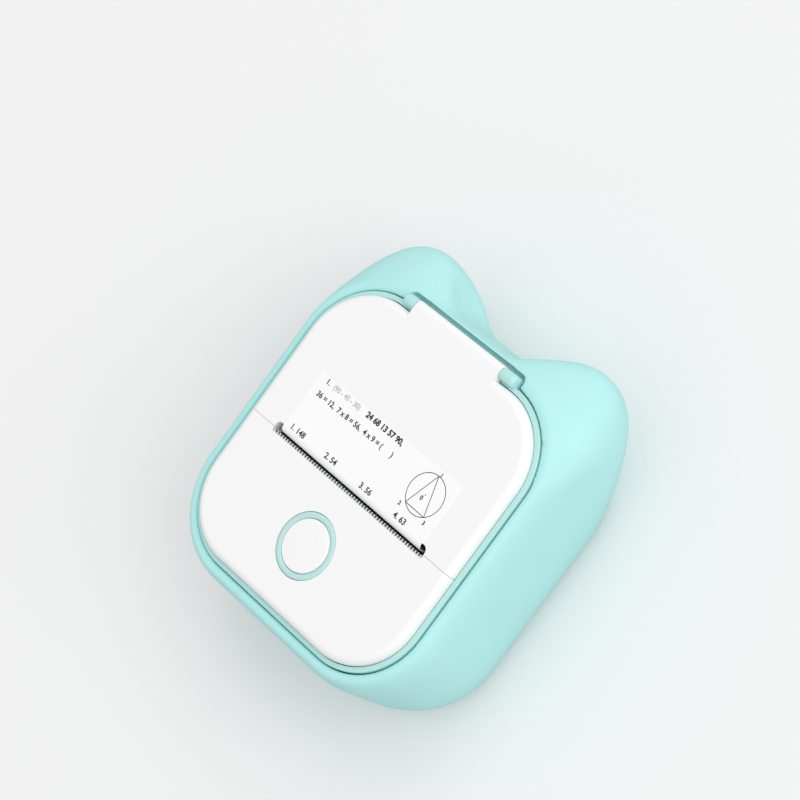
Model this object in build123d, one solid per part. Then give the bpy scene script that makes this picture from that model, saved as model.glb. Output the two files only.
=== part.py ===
from build123d import *
import math
import os

# Portable thermal printer in a soft sleeve with two round ears, in millimetres.
# It lies on its back. X runs across the face, Y from its lower edge to the ears, Z out of the face.
# The origin is on the sleeve's back, behind the middle of the face.

# Paper
paper_width = 55.0
paper_thickness = 0.1
paper_shown = 18.6
strip_shift = 0.15
strip_bend = 1.75
web_end_gap = 0.3
bay_front_gap = 2.4
bay_back_gap = 2.75
core_outer = 6.25
core_inner = 5.0
core_gap = 0.05
roll_gap = 0.6
tray_wall = 1.2
tray_end_wall = 1.0
tray_side_gap = 0.6
shelf_height = 6.2
shelf_reach = 2.2
shelf_length = 5.2
tray_corner = 3.6
tray_lip_angle = 219.0

# Face and housing
face_side = 11.9
face_width = paper_width + 2 * face_side
face_height = 79.5
face_corner = 18.7
face_line = 41.2
face_rise = 1.8
face_round = 2.0
skin = 1.8
skirt_wall = 1.5
rim_drop = 0.9
rim_gap = 0.25
rim_width = 1.35
rim_round = 0.35
case_wall = 1.8
case_round = 5.0
case_split = 24.0
lip_height = 1.2
lip_wall = 0.8
lip_gap = 0.1
deck_depth = 2.7
deck_thickness = 1.6
seat_gap = 0.3
bay_front = 5.0
bay_back_wall = 2.5

# Sleeve
sleeve_gap = 0.25
side_wall = 3.95
bottom_wall = 4.35
top_wall = 4.8
corner_wall = 4.0
sleeve_floor = 2.4
mouth_round = 0.5
front_inset = 2.4
front_depth = 9.0
back_inset = 8.4
back_depth = 17.9
ridge_flat = 8.9
ear_side = 15.55
ear_below_top = 2.7
ear_radius = 12.85
ear_flank = 30.0
ear_level = 26.35
ear_front = 13.6
ear_back = 20.6
ear_front_power = 1.9
ear_front_fade = 1.3
ear_back_power = 2.75
ear_back_fade = 1.5

# Lid hinge
hinge_offset = 2.25
barrel_radius = 1.75
barrel_length = 32.4
lug_radius = 1.65
lug_length = 4.6
lug_gap = 0.25
lug_round = 1.2
lug_seat = 0.3
pin_radius = 0.6
pin_clearance = 0.05
pin_grip = 0.02
pin_inset = 0.6
relief_gap = 0.9
relief_end_gap = 0.9
relief_depth = 3.2
relief_corner = 2.2
bridge_reach = 1.85
bridge_slope = 2.2

# Paper slit
parting_y = -4.4
parting_gap = 0.1
slit_side = 2.3
lid_notch = 2.0
lid_notch_corner = 1.6
panel_notch = 1.05
tooth_pitch = 1.0
tooth_height = 0.8
tooth_root = 0.14
tooth_tip = 0.14
tear_thickness = 0.6
tear_below_face = 0.5
tear_tail = 3.4
tear_gap = 0.1

# Button
button_from_edge = 17.65
button_radius = 6.7
button_crown = 0.35
button_travel = 0.5
button_gap = 0.14
ring_radius = 8.84
ring_flange = 1.0
ring_flange_height = 1.0
ring_stand = 0.15
ring_round = 0.3
stem_radius = 2.2
stem_gap = 0.3
cap_height = 3.9

# Platen and gear train
platen_y = 0.6
platen_z = 33.5
platen_radius = 4.0
platen_overhang = 0.7
platen_core = 1.5
shaft_clearance = 0.05
shaft_end = 1.3
bushing_radius = 2.5
bushing_step = 0.5
bushing_gap = 0.2
bushing_end = 0.3
gear_module = 0.5
platen_teeth = 14
step_teeth = 18
wheel_teeth = 40
pinion_teeth = 12
gear_width = 2.0
step_width = 2.7
gear_gap = 0.6
gear_inset = 0.1
tooth_share = 0.45
post_radius = 1.0
post_head = 0.6
motor_angle = 243.2
motor_radius = 7.0
motor_length = 14.0
motor_round = 0.8
motor_boss = 2.4
motor_shaft_radius = 0.75
motor_shaft_depth = 3.0

# Print head
web_gap = 0.25
head_gap = 0.1
head_thickness = 1.0
head_above = 1.3
head_below = 8.7
head_overhang = 0.5
head_foot = 2.2
sink_thickness = 3.0
sink_ear = 5.0
fin_pitch = 3.0
fin_gap = 1.2
fin_depth = 0.8
pivot_radius = 1.0
pivot_clearance = 0.05
pivot_below = 7.2
pivot_depth = 2.5
pivot_end = 0.4
spring_length = 4.5
spring_radius = 1.8
spring_wall = 0.5
spring_inset = 9.0
spring_below = 1.6

# Mechanism frame and lid frame
arm_gap = 0.6
arm_wall = 1.5
arm_radius = 3.4
cheek_gap = 1.0
cheek_wall = 1.0
cheek_top = 36.0
cheek_front = 12.6
cheek_back = 9.0
cheek_corner = 1.5
cheek_shoulder = 6.8
cheek_slope = 4.0
cheek_waist = 12.0
cheek_toe = 3.5
slot_length = 6.0
frame_floor = 1.0
foot_length = 5.5
foot_width = 6.0
foot_post = 2.4
foot_front = 3.5
foot_back = 7.0
floor_back = 6.0
mech_front_gap = 0.75
mech_back_gap = 4.5
spring_rail = 6.0
lid_plate = 1.6
lid_plate_gap = 4.75
lid_plate_side = 1.0
lid_plate_corner = 4.0
rib_height = 1.0
rib_width = 1.2
rib_start = 8.0
rib_spacing = 18.0

# Electronics
board_side = 2.5
board_reach = 5.7
board_gap = 0.25
board_back = 13.8
board_top = 32.2
board_thickness = 1.2
board_corner = 1.5
board_post_inset = 6.9
board_post_back = 3.2
board_post_radius = 2.0
switch_size = 6.0
switch_height = 3.4
plunger_radius = 1.7
plunger_height = 0.7
plunger_gap = 0.05
light_size = 1.6
light_height = 0.8
light_turn = 20.0
usb_width = 9.0
usb_height = 3.2
usb_length = 7.4
usb_wall = 0.4
usb_inset = 0.4
usb_end = 1.2
tongue_width = 6.6
tongue_height = 0.7
tongue_start = 0.8
usb_back_gap = 7.5
usb_gap = 0.3
port_width = 13.0
port_height = 7.2
battery_width = 46.0
battery_height = 9.0
battery_round = 2.0
battery_end_gap = 2.35
battery_frame_gap = 2.6
sensor_width = 6.0
sensor_depth = 2.6
sensor_height = 1.8
sensor_inset = 0.2
cable_width = 14.0
cable_thickness = 0.3
cable_inset = 11.0
cable_bend = 1.2
cable_run = 1.6
cable_drop = 8.0

# Screws
boss_gap = 0.2
boss_end = 8.0
boss_radius = 3.6
screw_radius = 1.1
screw_head_radius = 2.1
screw_head_height = 1.4
pilot_clearance = 0.1
head_clearance = 0.3
head_recess = 1.2
screw_length = 9.0
thread_bite = 0.1
frame_screw_length = 2.3
board_screw_radius = 0.7
board_screw_length = 4.0
lid_screw_radius = 0.9
lid_screw_head = 1.8
lid_screw_length = 1.3
lid_screw_inset = 2.8
lid_screw_end = 3.0

# Heights and outlines worked out from the sizes above
face_top = face_line + face_rise
rim_top = face_line - rim_drop
deck_top = face_line - deck_depth
deck_under = deck_top - deck_thickness
skin_under = face_top - skin
skirt_under = deck_top + seat_gap
rim_reach = rim_gap + rim_width
housing_half_height = face_height / 2 + rim_reach
case_floor = sleeve_floor + case_wall
hinge_y = housing_half_height + hinge_offset - rim_width
hinge_z = face_line
lug_inner = barrel_length / 2 + lug_gap
lug_outer = lug_inner + lug_length
pin_end = lug_outer - lug_round - pin_inset
slit_width = paper_width + 2 * slit_side
panel_edge = parting_y - parting_gap / 2
button_y = button_from_edge - face_height / 2
lid_edge = parting_y + parting_gap / 2
slit_base = panel_edge - panel_notch
tear_top = face_top - tear_below_face
cap_under = face_top - cap_height
ring_bore = button_radius + button_gap
sleeve_half_width = face_width / 2 + rim_reach + sleeve_gap + side_wall
sleeve_bottom = housing_half_height + sleeve_gap + bottom_wall
sleeve_top = housing_half_height + sleeve_gap + top_wall
sleeve_corner = face_corner + rim_reach + sleeve_gap + corner_wall
ear_x = sleeve_half_width - ear_side
ear_y = sleeve_top - ear_below_top
tray_front = platen_y + arm_radius + bay_front_gap
tray_back = housing_half_height - case_wall - bay_back_gap - tray_wall
tray_radius = (tray_back - tray_front) / 2
roll_radius = tray_radius - roll_gap
roll_y = (tray_front + tray_back) / 2
roll_z = case_floor + tray_wall + tray_radius
tray_half = paper_width / 2 + tray_side_gap
shelf_z = case_floor + shelf_height
shaft_radius = platen_core
platen_length = paper_width + 2 * platen_overhang
arm_x = platen_length / 2 + arm_gap
cheek_x = arm_x + arm_wall + cheek_gap
cheek_outer = cheek_x + cheek_wall
head_width = paper_width + 2 * head_overhang
spring_x = head_width / 2 - spring_inset
cable_x = cable_inset - head_width / 2
lid_plate_under = skin_under - lid_plate
lid_plate_end = face_height / 2 - lid_plate_gap
board_length = face_width - 2 * board_side
board_under = board_top - board_thickness
board_post_x = board_length / 2 - board_post_inset
board_post_y = -board_back - board_post_back
usb_y = -board_back - usb_back_gap
usb_start = usb_inset - face_width / 2 - rim_reach
boss_x = tray_half + tray_end_wall + boss_gap + boss_radius
boss_y = face_height / 2 - boss_end
boss_places = [(x, y) for x in (-boss_x, boss_x) for y in (-boss_y, boss_y)]
frame_under = case_floor + frame_floor
foot_x = cheek_outer + foot_length / 2
foot_places = [(x, y) for x in (-foot_x, foot_x) for y in (foot_front - cheek_front, cheek_back - foot_back)]
lid_screw_x = arm_x - lid_screw_inset
lid_screw_rows = (rib_start + lid_screw_end, lid_plate_end - lid_screw_end)
lid_screw_places = [(x, y) for x in (-lid_screw_x, lid_screw_x) for y in lid_screw_rows]

os.makedirs("parts", exist_ok=True)


def slab(width, height, corner, low, high):
    """Upright block with rounded corners, centred on the face."""
    return extrude(Plane.XY.offset(low) * RectangleRounded(width, height, corner), amount=high - low)


def face_slab(low, high, grow=0.0):
    """Block on the white face's outline, grown or shrunk all round."""
    return slab(face_width + 2 * grow, face_height + 2 * grow, face_corner + grow, low, high)


def block(x0, x1, y0, y1, z0, z1):
    """Square block between two corners."""
    return Pos((x0 + x1) / 2, (y0 + y1) / 2, (z0 + z1) / 2) * Box(x1 - x0, y1 - y0, z1 - z0)


def post(x, y, radius, low, high):
    """Upright round post."""
    return extrude(Plane.XY.offset(low) * (Pos(x, y) * Circle(radius)), amount=high - low)


def across(profile, x0, x1):
    """Profile drawn with Y and Z as its plane, drawn out along X."""
    return extrude(Plane.YZ.offset(x0) * profile, amount=x1 - x0)


def rod(y, z, radius, x0, x1):
    """Round bar along X."""
    return across(Pos(y, z) * Circle(radius), x0, x1)


def ring(y, z, outer, inner, x0, x1):
    """Round tube along X."""
    return across(Pos(y, z) * (Circle(outer) - Circle(inner)), x0, x1)


def polar(centre, radius, degrees):
    """Point at a distance and angle from a centre, in a two-way plane."""
    turn = math.radians(degrees)
    return (centre[0] + radius * math.cos(turn), centre[1] + radius * math.sin(turn))


def toward(start, end, distance):
    """Point on the way from start to end."""
    span = math.dist(start, end)
    return tuple(a + (b - a) * distance / span for a, b in zip(start, end))


def angle_of(start, end):
    """Angle of the line from start to end, in degrees."""
    return math.degrees(math.atan2(end[1] - start[1], end[0] - start[0]))


def blend(low, high, share):
    """Value between two others."""
    return low + (high - low) * share


# Sleeve


def ear_share(height):
    """How far the ears stand out at a height: 0 is a plain rounded square, 1 the full ear."""
    if height > ear_level:
        away = min((height - ear_level) / ear_front, 1.0)
        return (1 - away**ear_front_power) ** ear_front_fade
    away = min((ear_level - height) / ear_back, 1.0)
    return (1 - away**ear_back_power) ** ear_back_fade


def sleeve_section(height, inset):
    """Outline of the sleeve at a height: a rounded square whose upper corners swell into ears."""
    ear = ear_share(height)
    half = sleeve_half_width - inset
    low = sleeve_bottom - inset
    top = sleeve_top - inset
    corner = sleeve_corner - inset
    flank = ear_flank - inset
    tip = blend(sleeve_corner, ear_radius, ear) - inset
    ear_middle = (
        blend(sleeve_half_width - sleeve_corner - 0.02, ear_x, ear),
        blend(sleeve_top - sleeve_corner + 0.02, ear_y, ear),
    )
    flank_x = half - flank
    flank_middle = (flank_x, ear_middle[1] - math.sqrt((flank - tip) ** 2 - (ear_middle[0] - flank_x) ** 2))
    drop = top - ear_middle[1]
    run = ear_middle[0] - ridge_flat
    saddle = (run**2 + drop**2 - tip**2) / (2 * (tip - drop))
    saddle_middle = (ridge_flat, top + saddle)
    corner_middle = (half - corner, -low + corner)
    flank_turn = angle_of(flank_middle, ear_middle)
    ear_turn = angle_of(ear_middle, saddle_middle)
    corner_start = polar(corner_middle, corner, -90)
    corner_end = polar(corner_middle, corner, 0)
    flank_start = polar(flank_middle, flank, 0)
    flank_end = polar(ear_middle, tip, flank_turn)
    ear_end = polar(ear_middle, tip, ear_turn)
    right = [
        ThreePointArc(corner_start, polar(corner_middle, corner, -45), corner_end),
        Line(corner_end, flank_start),
        ThreePointArc(flank_start, polar(flank_middle, flank, flank_turn / 2), flank_end),
        ThreePointArc(flank_end, polar(ear_middle, tip, (flank_turn + ear_turn) / 2), ear_end),
        ThreePointArc(ear_end, polar(saddle_middle, saddle, (ear_turn + 450) / 2), (ridge_flat, top)),
    ]
    left = [line.mirror(Plane.YZ) for line in reversed(right)]
    base = Line((-corner_start[0], corner_start[1]), corner_start)
    ridge = Line((ridge_flat, top), (-ridge_flat, top))
    return Plane.XY.offset(height) * make_face([base, *right, ridge, *left])


def sleeve_form():
    """Sections from the rim to the back, with an elliptical edge at each end."""
    sections = []
    for degrees in (0, 25, 45, 65, 90):
        turn = math.radians(degrees)
        inset = front_inset * (1 - math.sin(turn))
        sections.append(sleeve_section(rim_top - front_depth * (1 - math.cos(turn)), inset))
    for share in (0.3, 0.65):
        sections.append(sleeve_section(blend(rim_top - front_depth, back_depth, share), 0))
    for degrees in (0, 18, 36, 54, 72, 90):
        turn = math.radians(degrees)
        inset = back_inset * (1 - math.cos(turn))
        sections.append(sleeve_section(back_depth * (1 - math.sin(turn)), inset))
    return loft(sections)


def housing_slab(low, high, grow=0.0):
    """Block on the printer housing's outline."""
    return face_slab(low, high, rim_reach + grow)


def port_cut(width, height, gap, x0, x1):
    """Rounded slot through the left side, in line with the USB socket."""
    w = width + 2 * gap
    h = height + 2 * gap
    z = board_under - usb_height / 2
    return across(Pos(usb_y, z) * RectangleRounded(w, h, h / 2 - 0.05), x0, x1)


def make_sleeve():
    cavity = housing_slab(sleeve_floor, face_top, sleeve_gap)
    cavity = fillet(cavity.faces().sort_by(Axis.Z)[0].edges(), case_round)
    relief_end = lug_outer + relief_end_gap
    relief = block(-relief_end, relief_end, 0, hinge_y + barrel_radius + relief_gap, 0, relief_depth)
    relief = fillet(relief.edges().filter_by(Axis.Z).sort_by(Axis.Y)[-2:], relief_corner)
    port = port_cut(port_width, port_height, 0, -sleeve_half_width - 1, -face_width / 2)
    shell = sleeve_form() - cavity
    mouth = shell.faces().sort_by(Axis.Z)[-1].inner_wires()[0]
    shell = fillet(mouth.edges(), mouth_round)
    return shell - Pos(0, 0, rim_top - relief_depth) * relief - port


# Housing


def make_rear_case():
    form = housing_slab(sleeve_floor, case_split)
    form = fillet(form.faces().sort_by(Axis.Z)[0].edges(), case_round)
    hollow = housing_slab(case_floor, case_split, -case_wall)
    hollow = chamfer(hollow.faces().sort_by(Axis.Z)[0].edges(), (case_round - case_wall) * 0.6)
    lip = housing_slab(case_split, case_split + lip_height, lip_wall - case_wall)
    lip -= housing_slab(case_split, case_split + lip_height, -case_wall)
    bosses = [post(x, y, boss_radius, case_floor, case_split) & form for x, y in boss_places]
    shell = form - hollow + lip + bosses
    for x, y in foot_places:
        shell += post(x, y, foot_post, case_floor - 0.2, frame_under)
    head_seat = sleeve_floor + head_recess + screw_head_height
    for x, y in boss_places:
        shell -= post(x, y, screw_radius + pilot_clearance, sleeve_floor, case_split + lip_height)
        shell -= post(x, y, screw_head_radius + head_clearance, sleeve_floor, head_seat)
    for x, y in foot_places:
        shell -= post(x, y, screw_radius + pilot_clearance, case_floor - 0.6, frame_under)
    return shell


def make_bezel():
    shell = housing_slab(case_split, rim_top)
    shell = fillet(shell.faces().sort_by(Axis.Z)[-1].edges(), rim_round)
    shell -= face_slab(deck_top, rim_top + 1, rim_gap)
    shell -= housing_slab(case_split, deck_under, -case_wall)
    bay_half = tray_half + tray_end_wall + seat_gap
    shell -= block(-bay_half, bay_half, bay_front, face_height / 2 - bay_back_wall, deck_under - 1, deck_top + 1)
    mech_half = cheek_outer + foot_length
    mech_front = slit_base - mech_front_gap
    mech_back = platen_y + arm_radius + mech_back_gap
    shell -= block(-mech_half, mech_half, mech_front, mech_back, deck_under - 1, deck_top + 1)
    shell -= post(0, button_y, stem_radius + stem_gap, deck_under - 1, deck_top + 1)
    for x, y in boss_places:
        shell += post(x, y, boss_radius - 0.4, case_split, deck_under) & housing_slab(case_split, deck_top, -0.1)
        shell -= post(x, y, screw_radius, case_split, case_split + screw_length)
    lip_way = housing_slab(case_split, case_split + lip_height + lip_gap, lip_wall + lip_gap - case_wall)
    lip_way -= housing_slab(case_split, case_split + lip_height + lip_gap, -lip_gap - case_wall)
    shell -= lip_way
    for x in (-board_post_x, board_post_x):
        shell += post(x, board_post_y, board_post_radius, board_top, deck_under)
        shell -= post(x, board_post_y, board_screw_radius + pilot_clearance, board_top, deck_under)
    shell -= port_cut(usb_width, usb_height, usb_gap, usb_start - 1, usb_start + usb_length)
    notch_half = lug_inner - 0.01
    shell -= block(-notch_half, notch_half, face_height / 2 - 2, hinge_y + 2, hinge_z - barrel_radius - 0.4, face_top)
    lug_profile = Pos(hinge_y, hinge_z) * Circle(lug_radius)
    root = rim_top - relief_depth + lug_seat
    lug_profile += Pos(hinge_y, (hinge_z + root) / 2) * Rectangle(2 * lug_radius, hinge_z - root)
    for side in (-1, 1):
        ends = sorted((side * lug_inner, side * lug_outer))
        lug = across(lug_profile, *ends)
        outer_end = lug.faces().sort_by(Axis.X)[-1 if side > 0 else 0]
        lug = fillet(outer_end.edges().sort_by(Axis.Z)[1:], lug_round)
        shell += lug - rod(hinge_y, hinge_z, pin_radius + pin_grip, *sorted((side * lug_inner, side * pin_end)))
    return shell


def white_shell():
    """Both halves of the face in one: a shallow tray, open at the back."""
    shell = face_slab(skirt_under, face_top)
    shell = fillet(shell.faces().sort_by(Axis.Z)[-1].edges(), face_round)
    return shell


def notched_edge(edge, notch, side, grow):
    """Face outline on one side of the paper slit, with the slit's notch and an inset all round."""
    reach = face_height
    half = slit_width / 2 + grow
    low = edge + side * grow
    area = face_slab(skirt_under, face_top, -grow)
    area &= block(-reach, reach, *sorted((low, side * reach)), 0, face_top)
    area -= block(-half, half, *sorted((low - side, low + side * notch)), 0, face_top)
    return area


def below_skin():
    """Everything under the face's skin."""
    return block(-face_width, face_width, -face_height, face_height, 0, skin_under)


def make_lid():
    outer = notched_edge(lid_edge, lid_notch, 1, 0)
    corners = outer.edges().filter_by(Axis.Z).filter_by_position(
        Axis.Y, lid_edge + lid_notch - 0.01, lid_edge + lid_notch + 0.01
    )
    outer = fillet(corners, lid_notch_corner)
    lid = white_shell() & outer
    lid -= notched_edge(lid_edge, lid_notch, 1, skirt_wall) & below_skin()
    bridge = make_face(
        Polyline(
            (hinge_y - bridge_reach - bridge_slope, face_top),
            (hinge_y - bridge_reach, face_top),
            (hinge_y, hinge_z + barrel_radius),
            (hinge_y, hinge_z - barrel_radius + 0.2),
            (hinge_y - bridge_reach, hinge_z - barrel_radius + 0.2),
            (hinge_y - bridge_reach - bridge_slope, skin_under),
            close=True,
        )
    )
    half = barrel_length / 2
    lid += across(bridge, -half, half)
    lid += rod(hinge_y, hinge_z, barrel_radius, -half, half)
    lid -= rod(hinge_y, hinge_z, pin_radius + pin_clearance, -half, half)
    return lid


def make_panel():
    panel = white_shell() & notched_edge(panel_edge, panel_notch, -1, 0)
    panel -= notched_edge(panel_edge, panel_notch, -1, skirt_wall) & below_skin()
    panel -= block(-slit_width / 2, slit_width / 2, slit_base - tear_tail, slit_base + 1, skin_under - 1, tear_top)
    panel -= post(0, button_y, ring_radius + button_gap, 0, face_top + 1)
    return panel


def make_tear_bar():
    count = int(slit_width / tooth_pitch)
    start = -count * tooth_pitch / 2
    end = slit_width / 2 - tear_gap
    tail = slit_base - tear_tail + tear_gap
    points = [(-end, tail), (-end, slit_base)]
    for index in range(count):
        left = start + index * tooth_pitch
        points.append((left + tooth_root, slit_base))
        points.append((left + tooth_pitch / 2 - tooth_tip, slit_base + tooth_height))
        points.append((left + tooth_pitch / 2 + tooth_tip, slit_base + tooth_height))
        points.append((left + tooth_pitch - tooth_root, slit_base))
    points += [(end, slit_base), (end, tail)]
    outline = make_face(Polyline(*points, close=True))
    return extrude(Plane.XY.offset(tear_top - tear_thickness) * outline, amount=tear_thickness)


# Button


def make_button():
    cap = post(0, button_y, button_radius, cap_under, face_top + button_crown)
    cap = fillet(cap.faces().sort_by(Axis.Z)[-1].edges(), button_crown * 1.6)
    stem_end = board_top + switch_height + plunger_height + button_travel + plunger_gap
    return cap + post(0, button_y, stem_radius, stem_end, cap_under)


def make_button_ring():
    tube = post(0, button_y, ring_radius, deck_top, face_top + ring_stand)
    tube = fillet(tube.faces().sort_by(Axis.Z)[-1].edges(), ring_round)
    tube += post(0, button_y, ring_radius + ring_flange, deck_top, deck_top + ring_flange_height)
    return tube - post(0, button_y, ring_bore, deck_top, face_top + 1)


# Gears


def gear_outline(teeth, turn=0.0):
    """Involute gear: three points to a flank, with backlash and a shortened tip."""
    pitch = gear_module * teeth / 2
    base = pitch * math.cos(math.radians(20))
    root = pitch - 1.25 * gear_module
    tip = pitch + 0.9 * gear_module

    def spread(radius):
        if radius <= base:
            return 0.0
        pressure = math.acos(base / radius)
        return math.tan(pressure) - pressure

    points = []
    half_pitch = math.pi / teeth * tooth_share
    for index in range(teeth):
        middle = 2 * math.pi * index / teeth + math.radians(turn)
        flank = [(r, half_pitch + spread(pitch) - spread(max(r, base))) for r in (root, pitch, tip)]
        for radius, half in flank:
            points.append((radius * math.cos(middle - half), radius * math.sin(middle - half)))
        for radius, half in reversed(flank):
            points.append((radius * math.cos(middle + half), radius * math.sin(middle + half)))
    return make_face(Polyline(*points, close=True))


platen = (platen_y, platen_z)
hinge = (hinge_y, hinge_z)
# The idler stands straight under the platen's first movement as the lid opens, so the teeth part cleanly
leave = (platen_z - hinge_z, hinge_y - platen_y)
leave_size = math.hypot(*leave)
idler_reach = gear_module * (platen_teeth + step_teeth) / 2
idler = (platen_y - idler_reach * leave[0] / leave_size, platen_z - idler_reach * leave[1] / leave_size)
motor = polar(idler, gear_module * (wheel_teeth + pinion_teeth) / 2, motor_angle)
step_x = cheek_outer + gear_gap
wheel_x = step_x + step_width
platen_gear_x = step_x + gear_inset
# Tooth phases: a tooth of one gear faces a gap of the next along the line of centres
step_turn = angle_of(idler, platen)
platen_turn = angle_of(platen, idler) + 180 / platen_teeth
pinion_turn = angle_of(motor, idler) + 180 / pinion_teeth


def make_platen_gear():
    outline = Pos(*platen) * (gear_outline(platen_teeth, platen_turn) - Circle(shaft_radius))
    return across(outline, platen_gear_x, platen_gear_x + gear_width)


def make_idler():
    wheel = Pos(*idler) * (gear_outline(wheel_teeth, motor_angle) - Circle(post_radius + shaft_clearance))
    step = Pos(*idler) * (gear_outline(step_teeth, step_turn) - Circle(post_radius + shaft_clearance))
    return across(wheel, wheel_x, wheel_x + gear_width) + across(step, step_x, wheel_x)


def make_pinion():
    outline = Pos(*motor) * gear_outline(pinion_teeth, pinion_turn)
    gear = across(outline, wheel_x - gear_inset, wheel_x + gear_width)
    return gear + rod(*motor, motor_shaft_radius, cheek_x - motor_shaft_depth, wheel_x)


def make_motor():
    can = rod(*motor, motor_radius, cheek_x - motor_length, cheek_x)
    can = fillet(can.faces().sort_by(Axis.X)[0].edges(), motor_round)
    can += rod(*motor, motor_boss, cheek_x, cheek_outer)
    well = cheek_x - motor_shaft_depth - gear_inset
    return can - rod(*motor, motor_shaft_radius + shaft_clearance, well, cheek_outer)


def make_idler_post():
    end = wheel_x + gear_width + 2 * gear_inset
    return rod(*idler, post_radius, cheek_outer, end) + rod(*idler, post_radius + post_head, end, end + post_head)


# Print head, built on axes that lean with it: down along the head, and away from the platen
head_lean = 210
head_out = polar((0, 0), 1, head_lean)
head_down = polar((0, 0), 1, head_lean + 90)


def at_head(down, out):
    """Point given by its distance down the head and out from the platen's axis."""
    return (
        platen_y + head_down[0] * down + head_out[0] * out,
        platen_z + head_down[1] * down + head_out[1] * out,
    )


def head_plate(down0, down1, out0, out1):
    """Rectangle on the head's own axes."""
    return make_face(
        Polyline(at_head(down0, out0), at_head(down1, out0), at_head(down1, out1), at_head(down0, out1), close=True)
    )


web_radius = platen_radius + web_gap + paper_thickness / 2
head_face = web_radius + paper_thickness / 2 + head_gap
sink_face = head_face + head_thickness
sink_back = sink_face + sink_thickness
pivot = at_head(pivot_below, head_face + pivot_depth)
spring_seat = sink_back + spring_length


def make_print_head():
    return across(head_plate(-head_above, head_below - head_foot, head_face, sink_face), -head_width / 2, head_width / 2)


def make_heat_sink():
    half = head_width / 2
    sink = across(head_plate(0.3 - head_above, head_below, sink_face, sink_back), -half, half)
    foot = head_plate(head_below - head_foot, head_below, head_face, sink_face)
    for side in (-1, 1):
        sink += across(foot, *sorted((side * half, side * (half - sink_ear))))
    groove = head_plate(-head_above, head_below - 3, sink_back - fin_depth, sink_back + 1)
    count = int((half - fin_gap) / fin_pitch)
    for index in range(-count, count + 1):
        centre = index * fin_pitch
        if abs(abs(centre) - spring_x) > spring_radius + fin_gap / 2:
            sink -= across(groove, centre - fin_gap / 2, centre + fin_gap / 2)
    return sink - rod(*pivot, pivot_radius + pivot_clearance, -head_width / 2, head_width / 2)


def make_springs():
    middle = at_head(spring_below, sink_back)
    lean = Plane(origin=(0, *middle), x_dir=(1, 0, 0), z_dir=(0, *head_out))
    coils = []
    for x in (-spring_x, spring_x):
        section = Pos(x, 0) * (Circle(spring_radius) - Circle(spring_radius - spring_wall))
        coils.append(extrude(lean * section, amount=spring_length))
    return Compound(children=coils)


def make_pivot_pin():
    return rod(*pivot, pivot_radius, -cheek_outer - pivot_end, cheek_outer + pivot_end)


# Mechanism frame


def make_frame():
    low = frame_under
    profile = make_face(
        Polyline(
            (-cheek_front, low),
            (-cheek_front, platen_z - arm_radius),
            (-cheek_shoulder, cheek_top),
            (cheek_back - cheek_slope, cheek_top),
            (cheek_back, cheek_top - cheek_slope),
            (cheek_back, low + cheek_waist),
            (cheek_back - cheek_toe, low),
            close=True,
        )
    )
    profile = fillet(profile.vertices().sort_by(Axis.Y)[2:], cheek_corner)
    slot_radius = bushing_radius + bushing_gap
    profile -= Pos(*platen) * Circle(slot_radius)
    slot_top = toward(platen, (platen_y + leave[0], platen_z + leave[1]), slot_length)
    slot = Pos((platen_y + slot_top[0]) / 2, (platen_z + slot_top[1]) / 2)
    profile -= slot * Rot(0, 0, angle_of(platen, slot_top)) * Rectangle(slot_length, 2 * slot_radius)
    body = across(profile, cheek_x, cheek_outer) + across(profile, -cheek_outer, -cheek_x)
    body += block(-cheek_outer, cheek_outer, -cheek_front, cheek_back - floor_back, low, low + frame_floor)
    rail = (spring_below - spring_rail / 2, spring_below + spring_rail / 2)
    body += across(head_plate(*rail, spring_seat, spring_seat + frame_floor), -cheek_x, cheek_x)
    for x, y in foot_places:
        inner, outer = sorted((math.copysign(cheek_x, x), math.copysign(cheek_outer + foot_length, x)))
        body += block(inner, outer, y - foot_width / 2, y + foot_width / 2, low, low + frame_floor)
        body -= post(x, y, screw_radius + pilot_clearance, low - 1, low + frame_floor + 1)
    body -= rod(*pivot, pivot_radius + 0.01, -cheek_outer - 1, cheek_outer + 1)
    body -= rod(*motor, motor_boss + pilot_clearance, cheek_x - 1, cheek_outer + 1)
    return body


# Lid mechanism


def make_lid_frame():
    low = lid_plate_under
    inner_y = lid_edge + lid_notch + skirt_wall + 0.2
    plate_half = cheek_outer + lid_plate_side
    plate = block(-plate_half, plate_half, inner_y, lid_plate_end, low, skin_under)
    plate = fillet(plate.edges().filter_by(Axis.Z), lid_plate_corner)
    for x in (-rib_spacing, 0, rib_spacing):
        plate += block(x - rib_width / 2, x + rib_width / 2, rib_start, lid_plate_end - 1, low - rib_height, low)
    arm = Pos(*platen) * Circle(arm_radius)
    arm_back = platen_y + arm_radius
    arm += Pos((inner_y + arm_back) / 2, (platen_z + low) / 2) * Rectangle(arm_back - inner_y, low - platen_z)
    for side in (-1, 1):
        ends = sorted((side * arm_x, side * (arm_x + arm_wall)))
        plate += across(arm, *ends)
    for x, y in lid_screw_places:
        plate -= post(x, y, lid_screw_radius + pilot_clearance, low - 1, skin_under)
    return plate - rod(*platen, bushing_radius - bushing_step, -arm_x - arm_wall, arm_x + arm_wall)


def make_bushings():
    both = []
    bore = shaft_radius + shaft_clearance
    arm_end = arm_x + arm_wall
    for side in (-1, 1):
        collar = ring(*platen, bushing_radius - bushing_step, bore, *sorted((side * arm_x, side * arm_end)))
        collar += ring(*platen, bushing_radius, bore, *sorted((side * arm_end, side * (cheek_outer + bushing_end))))
        both.append(collar)
    return Compound(children=both)


def make_platen_roller():
    half = platen_length / 2
    return ring(*platen, platen_radius, shaft_radius, -half, half)


def make_platen_shaft():
    return rod(*platen, shaft_radius, -cheek_outer - shaft_end, platen_gear_x + gear_width + 4 * gear_inset)


# Paper


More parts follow.
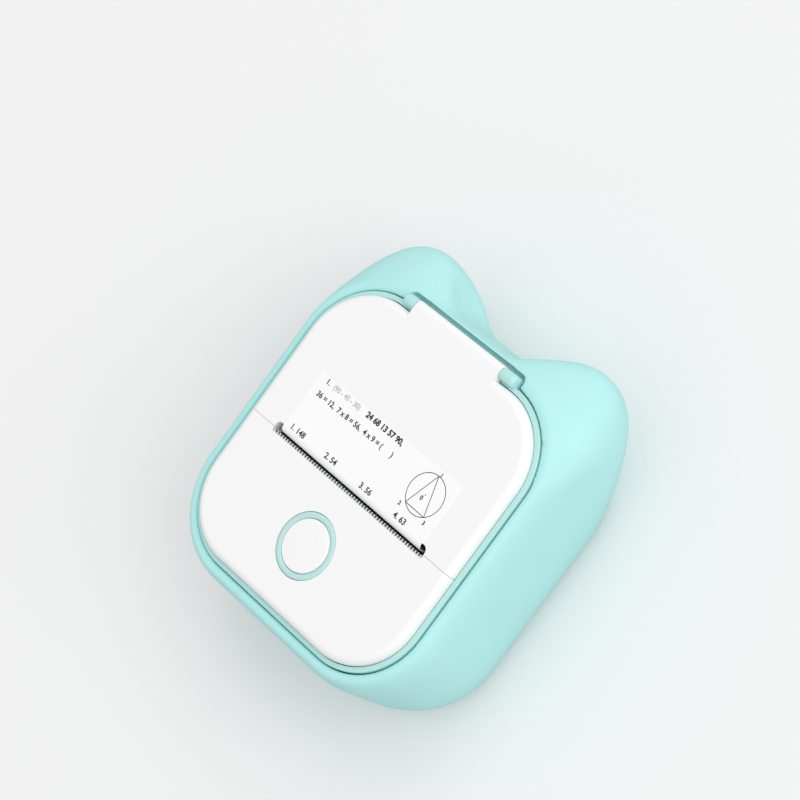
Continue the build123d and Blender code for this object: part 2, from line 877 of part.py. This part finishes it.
def make_paper_tray():
    inner = Pos(roll_y, roll_z) * Circle(tray_radius)
    shell = Pos(roll_y, roll_z) * Circle(tray_radius + tray_wall) - inner
    reach = 3 * tray_radius
    middle = (roll_y, roll_z)
    corners = [polar(middle, reach, tray_lip_angle), (roll_y - reach, roll_z + reach)]
    corners += [(roll_y + reach, roll_z + reach), (roll_y + reach, roll_z)]
    shell -= make_face(Polyline(middle, *corners, close=True))
    shell += Pos(tray_back + tray_wall / 2, (roll_z + deck_under) / 2) * Rectangle(tray_wall, deck_under - roll_z)
    shelf = Pos(tray_front - shelf_reach + shelf_length / 2, shelf_z) * Rectangle(shelf_length, tray_wall)
    shell += shelf - inner
    tray = across(shell, -tray_half, tray_half)
    end_back = tray_back + tray_wall
    end = Rectangle(end_back - tray_front, deck_under - case_floor)
    end = Pos((tray_front + end_back) / 2, (case_floor + deck_under) / 2) * fillet(end.vertices(), tray_corner)
    for side in (-1, 1):
        tray += across(end, *sorted((side * tray_half, side * (tray_half + tray_end_wall))))
    return tray


def make_sensor():
    low = shelf_z + tray_wall / 2
    front = tray_front - shelf_reach + sensor_inset
    half = sensor_width / 2
    return block(-half, half, front, front + sensor_depth, low, low + sensor_height)


def make_roll():
    half = paper_width / 2
    return ring(roll_y, roll_z, roll_radius, core_outer + core_gap, -half, half)


def make_core():
    half = paper_width / 2
    return ring(roll_y, roll_z, core_outer, core_inner, -half, half)


def tangent_point(centre, radius, outside, side):
    """Point where a line from outside touches a circle."""
    reach = math.dist(centre, outside)
    return polar(centre, radius, angle_of(centre, outside) + side * math.degrees(math.acos(radius / reach)))


strip_y = parting_y + strip_shift
strip_start = face_top - strip_bend - paper_thickness / 2
nip = polar(platen, web_radius, head_lean)


def make_inner_web():
    """Paper from the roll, round the platen and up to the slit."""
    half = paper_width / 2
    roll_end = tangent_point((roll_y, roll_z), roll_radius + web_gap, nip, 1)
    exit_point = (strip_y, strip_start - web_end_gap)
    leave_point = tangent_point(platen, web_radius, exit_point, 1)
    middle_turn = (head_lean + angle_of(platen, leave_point) % 360) / 2
    path = Line(roll_end, nip)
    path += ThreePointArc(nip, polar(platen, web_radius, middle_turn), leave_point)
    path += Line(leave_point, exit_point)
    return across(trace(path, paper_thickness), -half, half)


def make_printed_strip():
    """Printed end of the paper: out of the slit and back over the lid."""
    half = paper_width / 2
    height = face_top + paper_thickness / 2
    bend = height - strip_start
    path = ThreePointArc((strip_y, strip_start), polar((strip_y + bend, strip_start), bend, 135), (strip_y + bend, height))
    path += Line((strip_y + bend, height), (lid_edge + paper_shown, height))
    return across(trace(path, paper_thickness), -half, half)


# Electronics


def make_board():
    half = board_length / 2
    board = block(-half, half, button_y - board_reach, -board_back, board_under, board_top)
    board = fillet(board.edges().filter_by(Axis.Z), board_corner)
    for x in (-board_post_x, board_post_x):
        board -= post(x, board_post_y, screw_radius + pilot_clearance, board_under, board_top)
    for x, y in boss_places:
        board -= post(x, y, boss_radius + board_gap, board_under, board_top)
    return board


def make_switch():
    half = switch_size / 2
    body = block(-half, half, button_y - half, button_y + half, board_top, board_top + switch_height)
    top = board_top + switch_height
    return body + post(0, button_y, plunger_radius, top, top + plunger_height)


def make_ring_lights():
    lights = []
    half = light_size / 2
    for turn in (light_turn, -light_turn, 180 - light_turn, 180 + light_turn):
        x, y = polar((0, button_y), (ring_radius + ring_bore) / 2, turn)
        lights.append(block(x - half, x + half, y - half, y + half, board_top, board_top + light_height))
    return Compound(children=lights)


def make_usb_port():
    z = board_under - usb_height / 2
    start = usb_start
    outer = RectangleRounded(usb_width, usb_height, usb_height / 2 - 0.05)
    inner = RectangleRounded(usb_width - 2 * usb_wall, usb_height - 2 * usb_wall, usb_height / 2 - usb_wall - 0.05)
    shell = across(Pos(usb_y, z) * outer, start, start + usb_length)
    shell -= across(Pos(usb_y, z) * inner, start, start + usb_length - usb_end)
    tongue = Pos(usb_y, z) * Rectangle(tongue_width, tongue_height)
    return shell + across(tongue, start + tongue_start, start + usb_length - usb_end / 2)


def make_battery():
    low = -housing_half_height + case_wall + battery_end_gap
    high = -cheek_front - battery_frame_gap
    cell = block(-battery_width / 2, battery_width / 2, low, high, case_floor, case_floor + battery_height)
    return fillet(cell.edges().filter_by(Axis.X), battery_round)


def make_head_cable():
    """Flat cable from the head's lower edge, under the spring wall and up to the board."""
    route = FilletPolyline(
        at_head(head_below + cable_thickness, head_face + head_thickness / 2),
        (at_head(head_below, head_face)[0] - cable_bend, motor[1] + motor_radius - cable_run),
        (-cheek_front + 2 * cable_run, motor[1] + motor_radius - 1.5 * cable_run),
        (-board_back - cable_run, board_under - cable_drop),
        (-board_back - cable_run, board_under - web_end_gap / 6),
        radius=cable_bend,
    )
    return across(trace(route, cable_thickness), cable_x - cable_width / 2, cable_x + cable_width / 2)


# Screws


def screw(x, y, head, length, down, radius=None, head_radius=None):
    """Pan screw along Z: its head sits at one end and its shank runs down or up from there."""
    shank = radius or screw_radius - thread_bite
    cap = head_radius or screw_head_radius
    sign = -1 if down else 1
    lows = sorted((head, head - sign * screw_head_height))
    body = post(x, y, cap, *lows)
    return body + post(x, y, shank, *sorted((head, head + sign * length)))


def make_case_screws():
    seat = sleeve_floor + head_recess + screw_head_height
    length = case_split + screw_length - 1 - seat
    return Compound(children=[screw(x, y, seat, length, False) for x, y in boss_places])


def make_frame_screws():
    top = frame_under + frame_floor
    return Compound(children=[screw(x, y, top, frame_screw_length, True) for x, y in foot_places])


def make_board_screws():
    places = (-board_post_x, board_post_x)
    shape = (board_screw_length, False, board_screw_radius)
    return Compound(children=[screw(x, board_post_y, board_under, *shape) for x in places])


def make_lid_screws():
    shape = (lid_screw_length, False, lid_screw_radius, lid_screw_head)
    return Compound(children=[screw(x, y, lid_plate_under, *shape) for x, y in lid_screw_places])


nodes = {
    "silicone_sleeve": make_sleeve(),
    "rear_case": make_rear_case(),
    "front_bezel": make_bezel(),
    "lower_front_panel": make_panel(),
    "tear_bar": make_tear_bar(),
    "hinge_pin": rod(hinge_y, hinge_z, pin_radius, -pin_end, pin_end),
    "paper_lid": make_lid(),
    "lid_inner_frame": make_lid_frame(),
    "lid_screws": make_lid_screws(),
    "platen_bushings": make_bushings(),
    "printed_strip": make_printed_strip(),
    "platen_roller": make_platen_roller(),
    "platen_shaft": make_platen_shaft(),
    "platen_gear": make_platen_gear(),
    "power_button": make_button(),
    "button_ring": make_button_ring(),
    "idler_gear": make_idler(),
    "idler_post": make_idler_post(),
    "motor_pinion": make_pinion(),
    "stepper_motor": make_motor(),
    "print_head": make_print_head(),
    "head_heat_sink": make_heat_sink(),
    "head_springs": make_springs(),
    "head_pivot_pin": make_pivot_pin(),
    "mechanism_frame": make_frame(),
    "paper_tray": make_paper_tray(),
    "paper_sensor": make_sensor(),
    "paper_roll": make_roll(),
    "roll_core": make_core(),
    "inner_paper": make_inner_web(),
    "main_board": make_board(),
    "power_switch": make_switch(),
    "ring_lights": make_ring_lights(),
    "usb_port": make_usb_port(),
    "battery": make_battery(),
    "head_cable": make_head_cable(),
    "case_screws": make_case_screws(),
    "frame_screws": make_frame_screws(),
    "board_screws": make_board_screws(),
}

for name, shape in nodes.items():
    export_step(shape, f"parts/{name}.step")
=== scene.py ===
import math

import bmesh
import bpy
from mathutils import Matrix, Vector
from mathutils.kdtree import KDTree


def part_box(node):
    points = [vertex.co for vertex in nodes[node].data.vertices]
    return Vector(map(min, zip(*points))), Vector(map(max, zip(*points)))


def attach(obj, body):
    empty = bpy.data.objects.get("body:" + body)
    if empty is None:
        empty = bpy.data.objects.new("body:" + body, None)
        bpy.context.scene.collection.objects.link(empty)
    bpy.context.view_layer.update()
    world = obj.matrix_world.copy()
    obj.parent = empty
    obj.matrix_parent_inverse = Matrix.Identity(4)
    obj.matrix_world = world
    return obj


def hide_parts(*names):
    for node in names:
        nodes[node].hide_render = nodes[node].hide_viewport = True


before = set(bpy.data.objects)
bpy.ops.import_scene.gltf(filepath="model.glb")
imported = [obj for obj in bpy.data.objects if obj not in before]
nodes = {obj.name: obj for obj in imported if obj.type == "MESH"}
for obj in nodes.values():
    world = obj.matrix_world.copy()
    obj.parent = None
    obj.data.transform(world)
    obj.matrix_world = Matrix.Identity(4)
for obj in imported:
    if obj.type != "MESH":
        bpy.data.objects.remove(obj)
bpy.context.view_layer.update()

# Portable thermal printer in a soft sleeve, dressed over its CAD frame. Metres, in the frame's own axes.
scene = bpy.context.scene
mm = 0.001

# Camera, at the photograph's angle
camera_place = Vector((0.3894, 0.0800, 0.6032))
camera_back = Vector((0.5714, 0.0856, 0.8162))
camera_up = Vector((-0.5212, 0.8061, 0.2803))
camera_lens = 124.15

camera_data = bpy.data.cameras.new("camera")
camera_data.lens = camera_lens
camera_data.sensor_width = 36
camera_data.clip_start = 0.01
camera_data.clip_end = 20
camera = bpy.data.objects.new("camera", camera_data)
scene.collection.objects.link(camera)
camera_right = camera_up.cross(camera_back).normalized()
turn = Matrix((camera_right, camera_back.cross(camera_right), camera_back)).transposed()
camera.matrix_world = Matrix.Translation(camera_place) @ turn.to_4x4()
scene.camera = camera


# Materials
mottle_detail = 3
grain_detail = 2
grain_depth = 0.1 * mm
gloss_spread = 0.06
least_roughness = 0.02


def wire(tree, source, target):
    tree.links.new(source, target)


def surface(name, colour, roughness, mottle, mottle_size, grain, grain_size=0.3, **shader):
    """Moulded or rolled surface: a faint mottle in its colour and gloss, and a fine grain in its relief.
    Sizes are in millimetres; mottle is a share of the colour and grain a bump strength, with 0 for none."""
    mat = bpy.data.materials.new(name)
    mat.use_nodes = True
    tree = mat.node_tree
    bsdf = tree.nodes["Principled BSDF"]
    # The plain colour and roughness stay on the sockets, and the mottle below varies them
    bsdf.inputs["Base Color"].default_value = (*colour, 1)
    bsdf.inputs["Roughness"].default_value = roughness
    for socket, value in shader.items():
        bsdf.inputs[socket.replace("_", " ")].default_value = value
    place = tree.nodes.new("ShaderNodeTexCoord")
    cloud = tree.nodes.new("ShaderNodeTexNoise")
    cloud.inputs["Scale"].default_value = 1 / (mottle_size * mm)
    cloud.inputs["Detail"].default_value = mottle_detail
    wire(tree, place.outputs["Object"], cloud.inputs["Vector"])
    tint = tree.nodes.new("ShaderNodeMix")
    tint.data_type = "RGBA"
    tint.inputs["A"].default_value = (*[c * (1 - mottle) for c in colour], 1)
    tint.inputs["B"].default_value = (*[min(c * (1 + mottle), 1) for c in colour], 1)
    wire(tree, cloud.outputs["Fac"], tint.inputs["Factor"])
    wire(tree, tint.outputs["Result"], bsdf.inputs["Base Color"])
    gloss = tree.nodes.new("ShaderNodeMapRange")
    gloss.inputs["To Min"].default_value = max(roughness - gloss_spread, least_roughness)
    gloss.inputs["To Max"].default_value = min(roughness + gloss_spread, 1)
    wire(tree, cloud.outputs["Fac"], gloss.inputs["Value"])
    wire(tree, gloss.outputs["Result"], bsdf.inputs["Roughness"])
    if grain:
        speck = tree.nodes.new("ShaderNodeTexNoise")
        speck.inputs["Scale"].default_value = 1 / (grain_size * mm)
        speck.inputs["Detail"].default_value = grain_detail
        wire(tree, place.outputs["Object"], speck.inputs["Vector"])
        bump = tree.nodes.new("ShaderNodeBump")
        bump.inputs["Strength"].default_value = grain
        bump.inputs["Distance"].default_value = grain_depth
        wire(tree, speck.outputs["Fac"], bump.inputs["Height"])
        wire(tree, bump.outputs["Normal"], bsdf.inputs["Normal"])
    return mat


silicone = surface("silicone", (0.465, 0.83, 0.815), 0.55, 0.02, 9, 0.04, 0.25, Specular_IOR_Level=0.12)
white_plastic = surface(
    "white_plastic", (0.93, 0.93, 0.93), 0.5, 0.005, 14, 0.04, 0.35, Specular_IOR_Level=0.3
)
mint_plastic = surface("mint_plastic", (0.47, 0.79, 0.765), 0.4, 0.02, 6, 0.05, 0.3)
light_guide = surface("light_guide", (0.5, 0.77, 0.75), 0.4, 0.02, 5, 0.03, 0.3)
black_plastic = surface("black_plastic", (0.012, 0.012, 0.014), 0.5, 0.1, 4, 0.1, 0.25)
steel = surface("steel", (0.56, 0.57, 0.58), 0.3, 0.05, 2, 0.08, 0.15, Metallic=1.0)
blade_steel = surface("blade_steel", (0.86, 0.87, 0.88), 0.38, 0.03, 2, 0.04, 0.15, Metallic=1.0)
aluminium = surface("aluminium", (0.72, 0.73, 0.74), 0.4, 0.04, 2, 0.12, 0.12, Metallic=1.0)
gear_plastic = surface("gear_plastic", (0.78, 0.76, 0.7), 0.45, 0.02, 4, 0.03, 0.3)
platen_rubber = surface("platen_rubber", (0.02, 0.02, 0.02), 0.7, 0.1, 3, 0.2, 0.15)
ceramic = surface("ceramic", (0.75, 0.72, 0.64), 0.35, 0.03, 3, 0.03, 0.2)
board_green = surface("board_green", (0.02, 0.16, 0.07), 0.35, 0.12, 2.5, 0.1, 0.4)
cell_film = surface("cell_film", (0.24, 0.3, 0.38), 0.35, 0.04, 5, 0.05, 0.5)
paper = surface("paper", (0.97, 0.97, 0.97), 0.6, 0.01, 3, 0.05, 0.12)
ink = surface("ink", (0.03, 0.03, 0.03), 0.7, 0.15, 0.8, 0)
faint_ink = surface("faint_ink", (0.55, 0.55, 0.55), 0.7, 0.05, 0.8, 0)

dress = {
    silicone: ("silicone_sleeve",),
    white_plastic: ("paper_lid", "lower_front_panel", "power_button"),
    mint_plastic: ("rear_case", "front_bezel", "button_ring"),
    black_plastic: ("lid_inner_frame", "paper_tray", "paper_sensor", "power_switch", "roll_core"),
    blade_steel: ("tear_bar",),
    steel: (
        "hinge_pin",
        "lid_screws",
        "platen_shaft",
        "idler_post",
        "stepper_motor",
        "head_springs",
        "head_pivot_pin",
        "mechanism_frame",
        "usb_port",
        "case_screws",
        "frame_screws",
        "board_screws",
    ),
    gear_plastic: ("platen_gear", "idler_gear", "motor_pinion", "platen_bushings"),
    platen_rubber: ("platen_roller",),
    ceramic: ("print_head",),
    aluminium: ("head_heat_sink",),
    board_green: ("main_board", "ring_lights", "head_cable"),
    cell_film: ("battery",),
    paper: ("printed_strip", "paper_roll", "inner_paper"),
}
for mat, names in dress.items():
    for name in names:
        node = nodes[name]
        node.data.materials.clear()
        node.data.materials.append(mat)

# Soft skin of the sleeve: one even mesh over its solid, with rounded edges and a relaxed surface
skin_grain = 0.45 * mm
skin_weld = 0.001 * mm
edge_angle = math.radians(28)
edge_hold = 0.5 * mm
edge_reach = 2.5 * mm
edge_rounds = 12
skin_rounds = 60
smooth_pull = 0.5
skin_share = 0.2


def sharp_points(mesh, angle, spacing):
    """Points along the creases of a mesh, no further apart than the spacing."""
    shell = bmesh.new()
    shell.from_mesh(mesh)
    bmesh.ops.remove_doubles(shell, verts=shell.verts, dist=skin_weld)
    points = []
    for edge in shell.edges:
        if edge.is_manifold and edge.calc_face_angle(0) < angle:
            continue
        start, end = (vert.co.copy() for vert in edge.verts)
        steps = max(1, math.ceil((end - start).length / spacing))
        points += [start.lerp(end, step / steps) for step in range(steps + 1)]
    shell.free()
    return points


def applied(piece, modifiers):
    """Gives the piece the mesh that its modifiers make."""
    for kind, settings in modifiers:
        modifier = piece.modifiers.new(kind.lower(), kind)
        for key, value in settings.items():
            setattr(modifier, key, value)
    graph = bpy.context.evaluated_depsgraph_get()
    mesh = bpy.data.meshes.new_from_object(piece.evaluated_get(graph))
    piece.modifiers.clear()
    piece.data = mesh


def soft_skin(node_name, name, mat, body):
    """Relaxed skin of a node's solid. Its edges are rounded a little, and the surface settles more
    with the distance from them."""
    source = nodes[node_name].data
    piece = bpy.data.objects.new(name, source.copy())
    scene.collection.objects.link(piece)
    remesh = {"mode": "VOXEL", "voxel_size": skin_grain}
    settle = {"target": nodes[node_name], "wrap_method": "NEAREST_SURFACEPOINT"}
    applied(piece, [("REMESH", remesh), ("SHRINKWRAP", settle)])
    points = sharp_points(source, edge_angle, skin_grain)
    tree = KDTree(len(points))
    for index, point in enumerate(points):
        tree.insert(point, index)
    tree.balance()
    relaxed = piece.vertex_groups.new(name="relaxed")
    for vert in piece.data.vertices:
        away = (tree.find(vert.co)[2] - edge_hold) / edge_reach
        if away > 0:
            relaxed.add([vert.index], min(away, 1), "REPLACE")
    soften = {"factor": smooth_pull, "iterations": edge_rounds}
    relax = {"factor": smooth_pull, "iterations": skin_rounds, "vertex_group": "relaxed"}
    applied(piece, [("SMOOTH", soften), ("SMOOTH", relax), ("DECIMATE", {"ratio": skin_share})])
    piece.vertex_groups.clear()
    piece.data.shade_smooth()
    piece.data.materials.clear()
    piece.data.materials.append(mat)
    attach(piece, body)
    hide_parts(node_name)


soft_skin("silicone_sleeve", "sleeve_skin", silicone, "root")


# Turned pieces
turned_steps = 128
turned_weld = 0.0005 * mm
turned_crease = math.radians(35)

# Button, in millimetres: a cap with a rounded rim inside a crowned light ring
cap_radius = 7.1
cap_rim = 0.45
cap_dome = 0.08
cap_under = 39.1
stem_radius = 2.2
button_gap = 0.14
ring_radius = 8.84
ring_rise = 0.4
ring_steps = 16
flange_height = 1.0


def arc(centre, radii, start, end, steps=8):
    """Points of an arc in a profile, from one angle to another in degrees."""
    turns = [math.radians(start + (end - start) * step / steps) for step in range(steps + 1)]
    return [(centre[0] + radii[0] * math.cos(turn), centre[1] + radii[1] * math.sin(turn)) for turn in turns]


def turned(node_name, name, profile, mat, body):
    """Piece turned about a node's upright axis from a closed profile of (radius, height) in millimetres."""
    low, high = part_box(node_name)
    middle = (low + high) / 2
    count = len(profile)
    verts = []
    faces = []
    for step in range(turned_steps):
        turn = math.tau * step / turned_steps
        for radius, height in profile:
            out = radius * mm
            verts.append((middle.x + out * math.cos(turn), middle.y + out * math.sin(turn), height * mm))
        here = step * count
        after = (step + 1) % turned_steps * count
        for index in range(count):
            next_index = (index + 1) % count
            faces.append([here + index, after + index, after + next_index, here + next_index])
    shell = bmesh.new()
    mesh = bpy.data.meshes.new(name)
    mesh.from_pydata(verts, [], faces)
    shell.from_mesh(mesh)
    bmesh.ops.remove_doubles(shell, verts=shell.verts, dist=turned_weld)
    bmesh.ops.recalc_face_normals(shell, faces=shell.faces)
    shell.to_mesh(mesh)
    shell.free()
    mesh.shade_smooth()
    mesh.set_sharp_from_angle(angle=turned_crease)
    mesh.materials.append(mat)
    piece = bpy.data.objects.new(name, mesh)
    scene.collection.objects.link(piece)
    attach(piece, body)
    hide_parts(node_name)


stem_end, cap_top = (corner.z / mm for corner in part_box("power_button"))
cap_flat = cap_radius - cap_rim
# Half way out, a shallow dome has dropped by a quarter of its height
cap_profile = [(0, cap_top), (cap_flat / 2, cap_top - cap_dome / 4)]
cap_profile += arc((cap_flat, cap_top - cap_dome - cap_rim), (cap_rim, cap_rim), 90, 0)
cap_profile += [(cap_radius, cap_under), (stem_radius, cap_under), (stem_radius, stem_end), (0, stem_end)]
turned("power_button", "button_cap", cap_profile, white_plastic, "button")

ring_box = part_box("button_ring")
ring_low, ring_top = (corner.z / mm for corner in ring_box)
flange_radius = (ring_box[1].x - ring_box[0].x) / 2 / mm
ring_bore = cap_radius + button_gap
ring_middle = (ring_bore + ring_radius) / 2
ring_half = (ring_radius - ring_bore) / 2
ring_profile = [(ring_bore, ring_low)]
ring_profile += arc((ring_middle, ring_top - ring_rise), (ring_half, ring_rise), 180, 0, ring_steps)
ring_profile += [(ring_radius, ring_low + flange_height), (flange_radius, ring_low + flange_height)]
ring_profile += [(flange_radius, ring_low)]
turned("button_ring", "light_ring", ring_profile, light_guide, "root")

# Print on the paper strip: plain numbers and a plain figure, flat on the paper
ink_lift = 0.02 * mm
paper_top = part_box("printed_strip")[1].z + ink_lift
line_width = 0.2
text_size_per_height = 1.4


def keep(meshes, name, mat, body):
    """Joins loose meshes into one piece that rides on a body."""
    verts = []
    faces = []
    for mesh_verts, mesh_faces in meshes:
        start = len(verts)
        verts += mesh_verts
        faces += [[start + index for index in face] for face in mesh_faces]
    mesh = bpy.data.meshes.new(name)
    mesh.from_pydata(verts, [], faces)
    mesh.materials.append(mat)
    piece = bpy.data.objects.new(name, mesh)
    scene.collection.objects.link(piece)
    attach(piece, body)


def figures(text, x, y, size, weight=0.06):
    """Digits set flat on the paper, in millimetres: size is the height of a figure, and weight
    thickens its strokes."""
    curve = bpy.data.curves.new("figures", "FONT")
    curve.body = text
    curve.size = size * mm * text_size_per_height
    curve.offset = weight * mm
    curve.resolution_u = 3
    writer = bpy.data.objects.new("figures", curve)
    scene.collection.objects.link(writer)
    bpy.context.view_layer.update()
    flat = bpy.data.meshes.new_from_object(writer)
    verts = [(v.co.x + x * mm, v.co.y + y * mm, paper_top) for v in flat.vertices]
    faces = [list(p.vertices) for p in flat.polygons]
    bpy.data.objects.remove(writer)
    bpy.data.curves.remove(curve)
    bpy.data.meshes.remove(flat)
    return verts, faces


def stroke(points, width=line_width, closed=False):
    """Flat line of even width through points in millimetres."""
    count = len(points)
    verts = []
    for index, point in enumerate(points):
        before = points[index - 1] if closed or index else points[index]
        after = points[(index + 1) % count] if closed or index < count - 1 else points[index]
        along = (Vector(after) - Vector(before)).normalized()
        side = Vector((-along.y, along.x)) * width / 2
        for sign in (1, -1):
            verts.append(((point[0] + sign * side.x) * mm, (point[1] + sign * side.y) * mm, paper_top))
    last = count if closed else count - 1
    faces = [[2 * i, 2 * i + 1, (2 * i + 3) % (2 * count), (2 * i + 2) % (2 * count)] for i in range(last)]
    return verts, faces


circle_x = 20.1
circle_y = 7.2
circle_radius = 5.7
dot_size = 0.3


def on_circle(degrees):
    angle = math.radians(degrees)
    return (circle_x + circle_radius * math.cos(angle), circle_y + circle_radius * math.sin(angle))


corners = [on_circle(90), on_circle(231), on_circle(307)]
top_row = 12.6
middle_row = 8.7
bottom_row = -2.1
marks = [
    figures("1.", -24.5, top_row, 1.5),
    figures("24 68 13 57 90,", -8.4, top_row, 1.6, 0.1),
    figures("36 = 12,  7 x 8 = 56,  4 x 9 = (      )", -24.8, middle_row, 1.5),
    figures("1. 148", -25.4, bottom_row, 1.6),
    figures("2. 54", -11.5, bottom_row, 1.6),
    figures("3. 56", 2.4, bottom_row, 1.6),
    figures("4. 63", 15.8, bottom_row, 1.6),
    figures("0", 19.2, 5.5, 1.2),
    figures("1", 20.3, 13.05, 1.0),
    figures("2", 14.9, 1.1, 1.1),
    figures("3", 24.1, 1.1, 1.1),
    stroke([on_circle(degrees) for degrees in range(0, 360, 6)], closed=True),
    stroke([corners[0], corners[1]]),
    stroke([corners[1], corners[2]]),
    stroke([corners[2], corners[0]]),
    stroke([(circle_x - dot_size / 2, circle_y), (circle_x + dot_size / 2, circle_y)], dot_size),
]
keep(marks, "print_marks", ink, "lid")
keep([figures("(90 - 45 - 30)", -21.6, top_row, 1.4)], "faint_marks", faint_ink, "lid")

# Floor and light. The camera sees them paler than the light that they give
floor_half = 4.0
floor_drop = 0.1 * mm
floor_seen = 0.9
floor_bounce = 0.66
world_seen = 0.88
world_light = 0.72
lamp_target = Vector((0, 0, 0.02))
lamp_size = 3.6


def by_ray(tree, kind, seen, other, target):
    """Gives a socket one value for the camera's own rays and another for all other rays."""
    path = tree.nodes.new("ShaderNodeLightPath")
    choice = tree.nodes.new("ShaderNodeMix")
    choice.data_type = kind
    choice.inputs["A"].default_value = other
    choice.inputs["B"].default_value = seen
    wire(tree, path.outputs["Is Camera Ray"], choice.inputs["Factor"])
    wire(tree, choice.outputs["Result"], target)


def grey(tone):
    return (tone, tone, tone, 1)


floor_mat = bpy.data.materials.new("floor")
floor_mat.use_nodes = True
floor_shader = floor_mat.node_tree.nodes["Principled BSDF"]
floor_shader.inputs["Roughness"].default_value = 0.8
by_ray(floor_mat.node_tree, "RGBA", grey(floor_seen), grey(floor_bounce), floor_shader.inputs["Base Color"])
floor_signs = ((-1, -1), (1, -1), (1, 1), (-1, 1))
floor_corners = [(x * floor_half, y * floor_half, -floor_drop) for x, y in floor_signs]
floor_mesh = bpy.data.meshes.new("floor")
floor_mesh.from_pydata(floor_corners, [], [(0, 1, 2, 3)])
floor_mesh.materials.append(floor_mat)
floor = bpy.data.objects.new("floor", floor_mesh)
scene.collection.objects.link(floor)

world = bpy.data.worlds.new("world")
world.use_nodes = True
background = world.node_tree.nodes["Background"]
background.inputs["Color"].default_value = grey(1)
by_ray(world.node_tree, "FLOAT", world_seen, world_light, background.inputs["Strength"])
scene.world = world


def soft_lamp(name, place, power):
    """Square lamp that faces the middle of the printer."""
    data = bpy.data.lights.new(name, "AREA")
    data.size = lamp_size
    data.energy = power
    lamp = bpy.data.objects.new(name, data)
    lamp.location = place
    lamp.rotation_euler = (lamp_target - Vector(place)).to_track_quat("-Z", "Y").to_euler()
    scene.collection.objects.link(lamp)


soft_lamp("key", (3.6, 1.5, 2.7), 84)
soft_lamp("top", (0.4, 3.2, 3.6), 36)

scene.view_settings.view_transform = "Standard"
